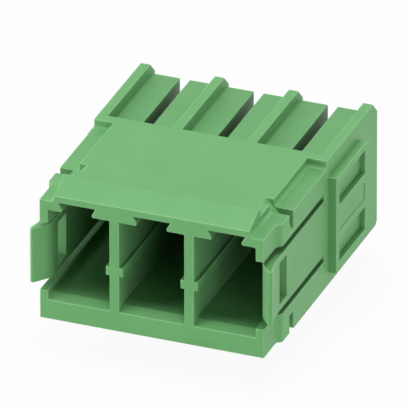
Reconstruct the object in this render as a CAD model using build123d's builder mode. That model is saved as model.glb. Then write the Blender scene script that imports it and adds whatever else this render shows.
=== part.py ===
from build123d import *
from math import tan, radians
import os

# Lengths in millimetres. X runs across the poles, the mating face looks towards -Y and the solder
# legs point down -Z. The origin is on the board, under the middle of the housing.

poles = 3
pitch = 7.62

# housing, plan view: a neck at the mating face that widens into the body
depth = 29.05                # mating face to the rear ends of the ribs
neck_depth = 3.03
shoulder_width = 0.51        # how far the body stands out past the neck, each side
shoulder_depth = 0.85
neck_half = poles * pitch / 2
body_half = neck_half + shoulder_width
front = -depth / 2
rear = depth / 2

# housing, side view: locking lip, deck, and a lower slab behind it
height = 13.62               # board to deck
lip_drop = 0.21              # the lip's front edge lies this far below the deck
lip_angle = 23
lip_depth = 3.02
lip_radius = 0.45
lip_foot = height - lip_drop
lip_top = lip_foot + lip_depth * tan(radians(lip_angle))    # before it is rounded
deck_depth = 16.61
slab_drop = 1.25             # step down from the deck to the slab
slab_setback = 0.63          # how far the ribs stand out behind the slab
slab_height = height - slab_drop
slab_depth = depth - slab_setback
heel = 0.4                   # chamfer along the rear bottom edge

# ledges beside the deck
ledge_drop = 0.84
ledge_width = 1.99
ledge_setback = 1.13         # wall between a ledge's rear end and the deck's
ledge_radius = 0.4
ledge_height = height - ledge_drop
ledge_depth = deck_depth - ledge_setback
deck_half = body_half - ledge_width

# slots across the four long corners
corner_slot_front = 5.52
corner_slot_width = 1.08
upper_slot_leg = 2.84
lower_slot_leg = 1.9

# mating chambers, one for each pole
chamber_depth = 15.7
chamber_floor = 2.56
roof = 1.86                  # deck down to the chamber's ceiling
chamber_top = height - roof
chamber_radius = 0.17        # upper outer corners of the two outer chambers
side_wall = 0.84
partition = 0.98
mouth_drop = 0.5             # lead-in slope at the front of the chamber floor
mouth_depth = 0.95

# dovetail keyway in each chamber's ceiling
key_neck_half = 1.53
key_top_half = 1.9
key_neck_rise = 0.28         # straight part above the chamber's ceiling
key_rise = 0.94
key_lip_radius = 0.17

# guide ribs along the partitions
guide_reach = 0.38
guide_height = 0.94
guide_bottom = 5.91

# latch arms, left standing between two slits in each side wall
arm_bottom = 3.76
arm_top = 9.62
arm_slit = 0.7
arm_root = 14.93
arm_inset = 0.76             # the arm's inner face lies this far inside the neck's side
arm_inner = neck_half - arm_inset
arm_bend_start = 2.04
arm_bend_radius = 2.05
arm_flare_angle = 40
arm_flank = 1.37
arm_flare_start = 2.6
arm_tip_reach = 0.42         # how far the flared tip stands out past the body
arm_tip_lead = 0.2           # and ahead of the mating face
arm_tip_radius = 0.14
window_front = 2.9
window_width = 2.03
window_bottom = 4.41
window_height = 4.5

# framed pads on both sides
pad_front = 15.9
pad_rear = 24.05
pad_bottom = 1.32
pad_top = 11.68
pad_thickness = 0.84
pocket_front = 16.7
pocket_rear = 23.68
pocket_depth = 0.6
shallow_pocket_depth = 0.13
upper_pocket = (8.39, 10.9)      # bottom and top
middle_pocket = (5.54, 7.37)
lower_pocket = (2.3, 4.79)

# ribs, contact slots and mould cores behind the chambers
rib = 1.0
rib_chamfer = 1.25
slot_front = 18.1
slot_width = 1.0
core_wall = 0.95             # wall left around a core

# contacts
contact_thickness = 0.8
tab_height = 3.0
tab_bottom = 5.06
tab_tip = 10.0               # distance of the tip behind the mating face
tab_chamfer = 0.7
stop_height = 0.9
stop_length = 1.4
press_clearance = 0.02
leg_front = 20.6
leg_spacing = 5.08
leg_width = 1.0
leg_length = 3.5             # below the housing
leg_point = 0.3

mating_face = Plane.XZ.offset(-front)
pole_places = [(i - (poles - 1) / 2) * pitch for i in range(poles)]


with BuildPart() as housing:
    # plan outline, straight up
    with BuildSketch():
        with BuildLine():
            neck_end = front + neck_depth
            shoulder_end = neck_end + shoulder_depth
            shoulder_middle = (neck_half + shoulder_width / 2, neck_end + shoulder_depth / 2)
            Polyline((0, front), (neck_half, front), (neck_half, neck_end))
            hollow_curve = TangentArc((neck_half, neck_end), shoulder_middle, tangent=(0, 1))
            TangentArc(shoulder_middle, (body_half, shoulder_end), tangent=hollow_curve % 1)
            Polyline((body_half, shoulder_end), (body_half, rear), (0, rear))
            mirror(about=Plane.YZ)
        make_face()
    extrude(amount=lip_top)

    # side view, from the lip over the deck to the slab and down the back
    with BuildSketch(Plane.YZ) as side_view:
        with BuildLine():
            ramp = Line((front, lip_foot), (front + lip_depth, lip_top))
            Polyline(
                ramp @ 1,
                (front + lip_depth, height),
                (front + deck_depth, height),
                (front + deck_depth, slab_height),
                (front + slab_depth, slab_height),
                (front + slab_depth, heel),
                (front + slab_depth - heel, 0),
                (front, 0),
                ramp @ 0,
            )
        make_face()
        fillet(side_view.vertices().sort_by(Axis.Y)[-1], radius=lip_radius)
    extrude(amount=body_half, both=True, mode=Mode.INTERSECT)

    # ledges, with a hollow fillet along their inner and rear foot
    with BuildSketch(mating_face):
        with Locations((deck_half, ledge_height)):
            Rectangle(ledge_width, lip_top - ledge_height, align=Align.MIN)
        mirror(about=Plane.YZ)
    extrude(amount=-ledge_depth, mode=Mode.SUBTRACT)
    ledge_floors = housing.faces().filter_by(Axis.Z).group_by(Axis.Z)[-2]
    inner_feet = [floor.edges().sort_by(SortBy.LENGTH)[-1] for floor in ledge_floors]
    rear_feet = [floor.edges().sort_by(Axis.Y)[-1] for floor in ledge_floors]
    fillet(inner_feet + rear_feet, radius=ledge_radius)

    # ribs between the poles and along both sides of the slab
    rib_places = [x + pitch / 2 for x in pole_places[:-1]]
    rib_places += [side * (body_half - rib / 2) for side in (-1, 1)]
    for x in rib_places:
        with BuildSketch(Plane.YZ.offset(x)):
            Polygon(
                (front + deck_depth, 0),
                (front + deck_depth, height),
                (rear - rib_chamfer, height),
                (rear, height - rib_chamfer),
                (rear, heel),
                (rear - heel, 0),
                align=None,
            )
        extrude(amount=rib / 2, both=True)

    # slots that cross the long corners at 45 degrees
    with BuildSketch(mating_face.offset(-corner_slot_front)):
        Polygon((body_half - upper_slot_leg, height), (body_half, height),
                (body_half, height - upper_slot_leg), align=None)
        Polygon((body_half - lower_slot_leg, 0), (body_half, 0),
                (body_half, lower_slot_leg), align=None)
        mirror(about=Plane.YZ)
    extrude(amount=-corner_slot_width, mode=Mode.SUBTRACT)

    # chambers with their keyways, the guide ribs left standing on the partitions
    for x in pole_places:
        first, last = x == pole_places[0], x == pole_places[-1]
        left = x - pitch / 2 + (side_wall if first else partition / 2)
        right = x + pitch / 2 - (side_wall if last else partition / 2)
        middle = (left + right) / 2
        with BuildSketch(mating_face) as chamber:
            with Locations((middle, chamber_floor)):
                Rectangle(right - left, chamber_top - chamber_floor, align=(Align.CENTER, Align.MIN))
            upper_corners = chamber.vertices().group_by(Axis.Y)[-1].sort_by(Axis.X)
            outer_corners = ([upper_corners[0]] if first else []) + ([upper_corners[-1]] if last else [])
            if outer_corners:
                fillet(outer_corners, radius=chamber_radius)
            Polygon(
                (x - key_neck_half, chamber_top),
                (x + key_neck_half, chamber_top),
                (x + key_neck_half, chamber_top + key_neck_rise),
                (x + key_top_half, chamber_top + key_rise),
                (x - key_top_half, chamber_top + key_rise),
                (x - key_neck_half, chamber_top + key_neck_rise),
                align=None,
            )
            ceiling = chamber.vertices().group_by(Axis.Y)[-3].sort_by(Axis.X)
            fillet(ceiling[1:3], radius=key_lip_radius)
            guides = ([] if first else [(left, guide_bottom)]) + ([] if last else [(right, guide_bottom)])
            with Locations(*guides):
                Rectangle(2 * guide_reach, guide_height, align=(Align.CENTER, Align.MIN),
                          mode=Mode.SUBTRACT)
        extrude(amount=-chamber_depth, mode=Mode.SUBTRACT)

        with BuildSketch(Plane.YZ.offset(left)):
            Polygon((front, chamber_floor - mouth_drop), (front + mouth_depth, chamber_floor),
                    (front, chamber_floor), align=None)
        extrude(amount=right - left, mode=Mode.SUBTRACT)

    # side walls opened for the latch arms
    for side in (-1, 1):
        with BuildSketch(Plane.YZ.offset(side * (neck_half - side_wall))):
            with Locations((front, arm_bottom - arm_slit)):
                Rectangle(arm_root, arm_top - arm_bottom + 2 * arm_slit, align=Align.MIN)
        extrude(amount=side * (side_wall + shoulder_width), mode=Mode.SUBTRACT)

    # latch arms, flared at the tip
    with BuildSketch(Plane.XY.offset(arm_bottom)) as arms:
        with BuildLine():
            inside = Line((arm_inner, front + arm_root), (arm_inner, front + arm_bend_start))
            bend = JernArc(inside @ 1, inside % 1, radius=arm_bend_radius, arc_size=arm_flare_angle)
            flank = PolarLine(bend @ 1, arm_flank, direction=bend % 1)
            tip = Line(flank @ 1, (body_half + arm_tip_reach, front - arm_tip_lead))
            flare = TangentArc((body_half, front + arm_flare_start), tip @ 1, tangent=(0, -1))
            Polyline(flare @ 0, (body_half, front + arm_root), inside @ 0)
        make_face()
        fillet(arms.vertices().group_by(Axis.Y)[0] + arms.vertices().group_by(Axis.Y)[1],
               radius=arm_tip_radius)
        mirror(about=Plane.YZ)
    extrude(amount=arm_top - arm_bottom)

    # catch window in each arm
    for side in (-1, 1):
        with BuildSketch(Plane.YZ.offset(side * arm_inner)):
            with Locations((front + window_front, window_bottom)):
                Rectangle(window_width, window_height, align=Align.MIN)
        extrude(amount=side * (body_half - arm_inner), mode=Mode.SUBTRACT)

    # framed pads
    for side in (-1, 1):
        with BuildSketch(Plane.YZ.offset(side * body_half)):
            with Locations((front + pad_front, pad_bottom)):
                Rectangle(pad_rear - pad_front, pad_top - pad_bottom, align=Align.MIN)
        extrude(amount=side * pad_thickness)
        pockets = ((upper_pocket, pocket_depth), (middle_pocket, shallow_pocket_depth),
                   (lower_pocket, pocket_depth))
        for (low, high), sunk in pockets:
            with BuildSketch(Plane.YZ.offset(side * (body_half + pad_thickness))):
                with Locations((front + pocket_front, low)):
                    Rectangle(pocket_rear - pocket_front, high - low, align=Align.MIN)
            extrude(amount=-side * sunk, mode=Mode.SUBTRACT)

    # slots for the contacts, open above, behind and below
    with BuildSketch():
        with Locations(*[(x, front + slot_front) for x in pole_places]):
            Rectangle(slot_width, depth - slot_front, align=(Align.CENTER, Align.MIN))
    extrude(amount=height, mode=Mode.SUBTRACT)

    # press holes through the bulkhead
    with BuildSketch(mating_face.offset(-chamber_depth)):
        with Locations(*[(x, tab_bottom + tab_height / 2) for x in pole_places]):
            Rectangle(contact_thickness + 2 * press_clearance, tab_height + 2 * press_clearance)
    extrude(amount=chamber_depth - slot_front, mode=Mode.SUBTRACT)

    # mould cores from below, between each contact slot and the rib or side wall beside it
    core_start = front + slot_front + core_wall
    core_length = slab_depth - slot_front - 2 * core_wall
    with BuildSketch():
        for x in pole_places:
            for side in (-1, 1):
                outermost = x == side * max(pole_places)
                inner = slot_width / 2 + core_wall
                outer = body_half - abs(x) - rib if outermost else pitch / 2 - rib / 2
                with Locations((x + side * (inner + outer) / 2, core_start)):
                    Rectangle(outer - inner, core_length, align=(Align.CENTER, Align.MIN))
    extrude(amount=slab_height - core_wall, mode=Mode.SUBTRACT)

housing.part.label = "housing"


contacts = []
for number, x in enumerate(pole_places, start=1):
    with BuildPart() as contact:
        # one stamping: tab, stop lug against the bulkhead, bar, and two solder legs
        with BuildSketch(Plane.YZ.offset(x)) as stamping:
            bar_rear = front + leg_front + leg_spacing + leg_width
            with Locations((front + tab_tip, tab_bottom)):
                Rectangle(bar_rear - front - tab_tip, tab_height, align=Align.MIN)
            chamfer(stamping.vertices().group_by(Axis.X)[0], length=tab_chamfer)
            with Locations((front + slot_front, tab_bottom + tab_height)):
                Rectangle(stop_length, stop_height, align=Align.MIN)
            with Locations(*[(front + leg_front + n * leg_spacing, -leg_length) for n in range(2)]):
                Rectangle(leg_width, leg_length + tab_bottom, align=Align.MIN)
            chamfer(stamping.vertices().group_by(Axis.Y)[0], length=leg_point)
        extrude(amount=contact_thickness / 2, both=True)
    contact.part.label = f"contact_{number}"
    contacts.append(contact.part)


os.makedirs("parts", exist_ok=True)
for piece in [housing.part] + contacts:
    export_step(piece, f"parts/{piece.label}.step")
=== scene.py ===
import math
import bpy
from mathutils import Matrix, Vector

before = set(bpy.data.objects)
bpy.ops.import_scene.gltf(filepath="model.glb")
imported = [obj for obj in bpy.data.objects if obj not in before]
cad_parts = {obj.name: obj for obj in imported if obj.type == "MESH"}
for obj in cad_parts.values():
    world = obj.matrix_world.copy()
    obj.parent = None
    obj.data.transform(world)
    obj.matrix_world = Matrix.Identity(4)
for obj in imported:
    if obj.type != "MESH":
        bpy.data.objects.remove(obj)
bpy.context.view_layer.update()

mm = 0.001
scene = bpy.context.scene
print("header frame loaded:", ", ".join(sorted(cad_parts)))


def directionTo(azimuth, elevation):
    # degrees round from the mating face towards the right arm, and up from the board
    turn, lift = math.radians(azimuth), math.radians(elevation)
    return Vector((math.sin(turn) * math.cos(lift), -math.cos(turn) * math.cos(lift), math.sin(lift)))


def addObject(name, data):
    added = bpy.data.objects.new(name, data)
    scene.collection.objects.link(added)
    return added


# camera

photoCamera = {
    "azimuth": 21.232,
    "elevation": 28.315,
    "roll": -0.087,
    "distance": 1.73357,
    "lens": 1600,           # mm, a long telephoto
    "sensorWidth": 36,
    "clip": (0.01, 50),
    "aim": (-0.000196, -0.000215, 0.007227),
}


def placeCamera(setup):
    turn, roll = math.radians(setup["azimuth"]), math.radians(setup["roll"])
    back = directionTo(setup["azimuth"], setup["elevation"])
    right = Vector((math.cos(turn), math.sin(turn), 0))
    up = back.cross(right)
    rolledRight = right * math.cos(roll) + up * math.sin(roll)
    rolledUp = up * math.cos(roll) - right * math.sin(roll)
    data = bpy.data.cameras.new("headerCamera")
    data.lens = setup["lens"]
    data.sensor_width = setup["sensorWidth"]
    data.clip_start, data.clip_end = setup["clip"]
    camera = addObject("headerCamera", data)
    camera.location = Vector(setup["aim"]) + back * setup["distance"]
    camera.rotation_euler = Matrix((rolledRight, rolledUp, back)).transposed().to_euler()
    scene.camera = camera


placeCamera(photoCamera)
print("camera placed")


# node helpers

noiseSpan = (0.3, 0.7)      # most of a noise texture's values lie between these


def newMaterial(name):
    material = bpy.data.materials.new(name)
    material.use_nodes = True
    tree = material.node_tree
    tree.nodes.clear()
    return material, tree, tree.nodes.new("ShaderNodeOutputMaterial")


def addNoise(tree, coordinate, scale, detail):
    noise = tree.nodes.new("ShaderNodeTexNoise")
    noise.inputs["Scale"].default_value = scale
    noise.inputs["Detail"].default_value = detail
    tree.links.new(coordinate, noise.inputs["Vector"])
    return noise.outputs["Fac"]


def addRange(tree, source, fromSpan, toSpan):
    spread = tree.nodes.new("ShaderNodeMapRange")
    spread.inputs["From Min"].default_value, spread.inputs["From Max"].default_value = fromSpan
    spread.inputs["To Min"].default_value, spread.inputs["To Max"].default_value = toSpan
    tree.links.new(source, spread.inputs["Value"])
    return spread.outputs["Result"]


def addColorMix(tree, factor, first, second):
    # first is a colour or the output that carries one, second is a colour
    mix = tree.nodes.new("ShaderNodeMix")
    mix.data_type = "RGBA"
    tree.links.new(factor, mix.inputs["Factor"])
    if isinstance(first, tuple):
        mix.inputs["A"].default_value = first
    else:
        tree.links.new(first, mix.inputs["A"])
    mix.inputs["B"].default_value = second
    return mix.outputs["Result"]


def addShaderMix(tree, factor, first, second, output):
    mix = tree.nodes.new("ShaderNodeMixShader")
    tree.links.new(factor, mix.inputs["Fac"])
    tree.links.new(first, mix.inputs[1])
    tree.links.new(second, mix.inputs[2])
    tree.links.new(mix.outputs["Shader"], output.inputs["Surface"])


def addBump(tree, height, strength, distance):
    bump = tree.nodes.new("ShaderNodeBump")
    bump.inputs["Strength"].default_value = strength
    bump.inputs["Distance"].default_value = distance
    tree.links.new(height, bump.inputs["Height"])
    return bump.outputs["Normal"]


def addSurface(tree, output, color, roughness, normal):
    shader = tree.nodes.new("ShaderNodeBsdfPrincipled")
    tree.links.new(color, shader.inputs["Base Color"])
    tree.links.new(roughness, shader.inputs["Roughness"])
    tree.links.new(normal, shader.inputs["Normal"])
    tree.links.new(shader.outputs["BSDF"], output.inputs["Surface"])
    return shader


# moulded housing

paintedHighlightMark = "paintedEdgeHighlight"       # the mesh mark of the rounded strips that carry the painted highlight, 1 on them and 0 elsewhere

mouldedGreen = {
    "pale": (0.163, 0.447, 0.163, 1),
    "deep": (0.147, 0.415, 0.147, 1),
    "paintedHighlight": (0.235, 0.55, 0.235, 1),     # painted highlight, a pale line along each rounded edge
    "paintedShade": (0.132, 0.300, 0.132, 1),  # painted shade, duller deep in the chambers and pockets
    "paintedShadeReach": 10 * mm,
    "paintedShadeOpen": (0.25, 0.82),          # share of open space where the painted shade is full, and gone
    "roughness": (0.42, 0.52),
    "specular": 0.30,
    "mottleSize": 260,       # cells per metre, the slow flow of colour in the moulding
    "mottleDetail": 3,
    "grainSize": 9000,       # the fine spark-eroded skin of the mould
    "grainDetail": 2,
    "grainDepth": 0.006 * mm,
    "grainStrength": 0.35,
}


def makeMouldedGreen(look):
    material, tree, output = newMaterial("mouldedGreen")
    place = tree.nodes.new("ShaderNodeTexCoord").outputs["Object"]
    mottle = addNoise(tree, place, look["mottleSize"], look["mottleDetail"])
    grain = addNoise(tree, place, look["grainSize"], look["grainDetail"])
    # ambient occlusion finds the chambers and pockets for the painted shade
    opening = tree.nodes.new("ShaderNodeAmbientOcclusion")
    opening.inputs["Distance"].default_value = look["paintedShadeReach"]
    opening.only_local = True
    highlightAttribute = tree.nodes.new("ShaderNodeAttribute")
    highlightAttribute.attribute_name = paintedHighlightMark
    color = addColorMix(tree, addRange(tree, mottle, noiseSpan, (0, 1)), look["deep"], look["pale"])
    # painted shade: the colour turns duller where little open space is around
    color = addColorMix(tree, addRange(tree, opening.outputs["AO"], look["paintedShadeOpen"], (1, 0)),
                        color, look["paintedShade"])
    # painted highlight: a paler colour on the rounded edge strips
    color = addColorMix(tree, highlightAttribute.outputs["Fac"], color, look["paintedHighlight"])
    roughness = addRange(tree, grain, noiseSpan, look["roughness"])
    normal = addBump(tree, grain, look["grainStrength"], look["grainDepth"])
    shader = addSurface(tree, output, color, roughness, normal)
    shader.inputs["Specular IOR Level"].default_value = look["specular"]
    return material


# stamped contacts

tinnedStrip = {
    "bright": (0.60, 0.59, 0.565, 1),
    "dull": (0.46, 0.455, 0.435, 1),
    "roughness": (0.24, 0.40),
    "cloudSize": 700,
    "rollSize": 2400,        # rolling marks along the strip
    "rollStretch": (1, 12, 1),
    "rollDepth": 0.004 * mm,
    "rollStrength": 0.4,
    "detail": 3,
}


def makeTinnedStrip(look):
    material, tree, output = newMaterial("tinnedStrip")
    place = tree.nodes.new("ShaderNodeTexCoord").outputs["Object"]
    stretch = tree.nodes.new("ShaderNodeMapping")
    stretch.inputs["Scale"].default_value = [1 / part for part in look["rollStretch"]]
    tree.links.new(place, stretch.inputs["Vector"])
    cloud = addNoise(tree, place, look["cloudSize"], look["detail"])
    rolled = addNoise(tree, stretch.outputs["Vector"], look["rollSize"], look["detail"])
    color = addColorMix(tree, addRange(tree, cloud, noiseSpan, (0, 1)), look["dull"], look["bright"])
    roughness = addRange(tree, rolled, noiseSpan, look["roughness"])
    normal = addBump(tree, rolled, look["rollStrength"], look["rollDepth"])
    shader = addSurface(tree, output, color, roughness, normal)
    shader.inputs["Metallic"].default_value = 1
    return material


# edges: every outward moulded or stamped edge has a small round on it, every inward one stays crisp

edgeRound = {
    "housing": 0.07 * mm,
    "contact": 0.05 * mm,
    "segments": 2,
    "joinWithin": 0.001 * mm,
    "outwardFrom": 20,       # degrees, outward edges sharper than this are rounded
    "inwardFrom": 14,        # degrees, inward edges sharper than this keep their line
    "paintedHighlightFrom": 10,          # degrees, a strip turned this far from the face beside it gets the painted highlight
}
facingMark = "flatFacing"    # which way a face looked before the rounding


def newMarkGroup(name):
    tree = bpy.data.node_groups.new(name, "GeometryNodeTree")
    tree.interface.new_socket("Geometry", in_out="INPUT", socket_type="NodeSocketGeometry")
    tree.interface.new_socket("Geometry", in_out="OUTPUT", socket_type="NodeSocketGeometry")
    edgeTurn = tree.nodes.new("GeometryNodeInputMeshEdgeAngle").outputs["Signed Angle"]
    facing = tree.nodes.new("GeometryNodeInputNormal").outputs["True Normal"]
    geometry = tree.nodes.new("NodeGroupInput").outputs["Geometry"]
    return tree, geometry, edgeTurn, facing


def closeMarkGroup(tree, geometry):
    tree.links.new(geometry, tree.nodes.new("NodeGroupOutput").inputs["Geometry"])
    return tree


def storeMark(tree, geometry, name, dataType, domain, value):
    mark = tree.nodes.new("GeometryNodeStoreNamedAttribute")
    mark.data_type = dataType
    mark.domain = domain
    mark.inputs["Name"].default_value = name
    tree.links.new(geometry, mark.inputs["Geometry"])
    tree.links.new(value, mark.inputs["Value"])
    return mark.outputs["Geometry"]


def compareWith(tree, value, comparison, limit):
    compared = tree.nodes.new("FunctionNodeCompare")
    compared.operation = comparison
    compared.inputs["B"].default_value = limit
    tree.links.new(value, compared.inputs["A"])
    return compared.outputs["Result"]


def makeMarksBefore():
    tree, geometry, edgeTurn, facing = newMarkGroup("outwardEdges")
    outward = compareWith(tree, edgeTurn, "GREATER_THAN", math.radians(edgeRound["outwardFrom"]))
    geometry = storeMark(tree, geometry, "bevel_weight_edge", "FLOAT", "EDGE", outward)
    geometry = storeMark(tree, geometry, facingMark, "FLOAT_VECTOR", "FACE", facing)
    return closeMarkGroup(tree, geometry)


def makeMarksAfter():
    tree, geometry, edgeTurn, facing = newMarkGroup("creasesAndPaintedHighlight")
    inward = compareWith(tree, edgeTurn, "LESS_THAN", -math.radians(edgeRound["inwardFrom"]))
    geometry = storeMark(tree, geometry, "sharp_edge", "BOOLEAN", "EDGE", inward)
    before = tree.nodes.new("GeometryNodeInputNamedAttribute")    # a strip has it from a face beside it
    before.data_type = "FLOAT_VECTOR"
    before.inputs["Name"].default_value = facingMark
    along = tree.nodes.new("ShaderNodeVectorMath")
    along.operation = "DOT_PRODUCT"
    tree.links.new(before.outputs["Attribute"], along.inputs[0])
    tree.links.new(facing, along.inputs[1])
    # marks the rounded strips for the painted highlight
    rounded = compareWith(tree, along.outputs["Value"], "LESS_THAN",
                          math.cos(math.radians(edgeRound["paintedHighlightFrom"])))
    geometry = storeMark(tree, geometry, paintedHighlightMark, "FLOAT", "FACE", rounded)
    return closeMarkGroup(tree, geometry)


marksBefore = makeMarksBefore()
marksAfter = makeMarksAfter()


def roundEdges(node, width):
    node.data.shade_smooth()
    weld = node.modifiers.new("joinFaces", "WELD")
    weld.merge_threshold = edgeRound["joinWithin"]
    node.modifiers.new("marksBefore", "NODES").node_group = marksBefore
    bevel = node.modifiers.new("edgeRound", "BEVEL")
    bevel.width = width
    bevel.segments = edgeRound["segments"]
    bevel.limit_method = "WEIGHT"
    bevel.use_clamp_overlap = False
    bevel.loop_slide = False
    node.modifiers.new("marksAfter", "NODES").node_group = marksAfter
    normals = node.modifiers.new("evenNormals", "WEIGHTED_NORMAL")
    normals.weight = 100     # wide faces keep their own normal, so the rounds take all the turn
    normals.keep_sharp = True


greenSkin = makeMouldedGreen(mouldedGreen)
tinSkin = makeTinnedStrip(tinnedStrip)

for name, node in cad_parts.items():
    isContact = name.startswith("contact")
    node.material_slots[0].material = tinSkin if isContact else greenSkin
    roundEdges(node, edgeRound["contact"] if isContact else edgeRound["housing"])
print("housing and contacts dressed")


# floor, light and white surroundings

plainWhite = (1, 1, 1, 1)

paleFloor = {
    "height": -3.5 * mm,     # the tips of the solder legs stand on it
    "size": 4.0,
    "color": (0.85, 0.85, 0.85, 1),
    "white": 0.935,          # how much of the seen floor is plain white, the rest takes the shadow
}

softWorld = {
    "ambient": 0.03,         # level that lights the object
    "white": 1,              # level that is seen
}


def seenWhite(tree, amount):
    # amount for rays that show the background, 0 for rays that carry its light
    rays = tree.nodes.new("ShaderNodeLightPath")
    seen = rays.outputs["Is Camera Ray"]
    for other in ("Is Glossy Ray", "Is Transmission Ray"):
        either = tree.nodes.new("ShaderNodeMath")
        either.operation = "MAXIMUM"
        tree.links.new(seen, either.inputs[0])
        tree.links.new(rays.outputs[other], either.inputs[1])
        seen = either.outputs[0]
    share = tree.nodes.new("ShaderNodeMath")
    share.operation = "MULTIPLY"
    share.inputs[1].default_value = amount
    tree.links.new(seen, share.inputs[0])
    return share.outputs[0]


def layFloor(look):
    half = look["size"] / 2
    corners = [(half * x, half * y, look["height"]) for x, y in ((-1, -1), (1, -1), (1, 1), (-1, 1))]
    mesh = bpy.data.meshes.new("paleFloor")
    mesh.from_pydata(corners, [], [(0, 1, 2, 3)])
    floor = addObject("paleFloor", mesh)
    material, tree, output = newMaterial("paleFloor")
    diffuse = tree.nodes.new("ShaderNodeBsdfDiffuse")
    diffuse.inputs["Color"].default_value = look["color"]
    white = tree.nodes.new("ShaderNodeEmission")
    white.inputs["Color"].default_value = plainWhite
    addShaderMix(tree, seenWhite(tree, look["white"]), diffuse.outputs["BSDF"],
                 white.outputs["Emission"], output)
    mesh.materials.append(material)


def makeWorld(look):
    world = bpy.data.worlds.new("whiteRoom")
    world.use_nodes = True
    tree = world.node_tree
    tree.nodes.clear()
    output = tree.nodes.new("ShaderNodeOutputWorld")
    light = tree.nodes.new("ShaderNodeBackground")
    light.inputs["Color"].default_value = plainWhite
    light.inputs["Strength"].default_value = look["ambient"]
    white = tree.nodes.new("ShaderNodeBackground")
    white.inputs["Color"].default_value = plainWhite
    addShaderMix(tree, seenWhite(tree, look["white"]), light.outputs["Background"],
                 white.outputs["Background"], output)
    scene.world = world


# square soft boxes, power in watts
studioLamps = {
    "distance": 0.7,
    "size": 0.36,
    "aim": (0, 0, 7 * mm),
    "boxes": [
        {"name": "overheadBox", "azimuth": 0, "elevation": 90, "power": 3.1},
        {"name": "leftBox", "azimuth": -65, "elevation": 8, "power": 4.15},
        {"name": "rightBox", "azimuth": 80, "elevation": 8, "power": 0.8},
        {"name": "rightHighBox", "azimuth": 80, "elevation": 30, "power": 0.45},
        {"name": "rearLeftBox", "azimuth": -120, "elevation": 30, "power": 1.0},
        {"name": "frontRightBox", "azimuth": 45, "elevation": 8, "power": 1.2},
        {"name": "rearBox", "azimuth": 172, "elevation": 10, "power": 0.8},
    ],
}


def hangLamps(lamps):
    for box in lamps["boxes"]:
        away = directionTo(box["azimuth"], box["elevation"])
        data = bpy.data.lights.new(box["name"], "AREA")
        data.shape = "SQUARE"
        data.size = lamps["size"]
        data.energy = box["power"]
        lamp = addObject(box["name"], data)
        lamp.location = Vector(lamps["aim"]) + away * lamps["distance"]
        lamp.rotation_euler = away.to_track_quat("Z", "Y").to_euler()


layFloor(paleFloor)
makeWorld(softWorld)
hangLamps(studioLamps)
scene.view_settings.view_transform = "Standard"
print("floor, lamps and white room ready")
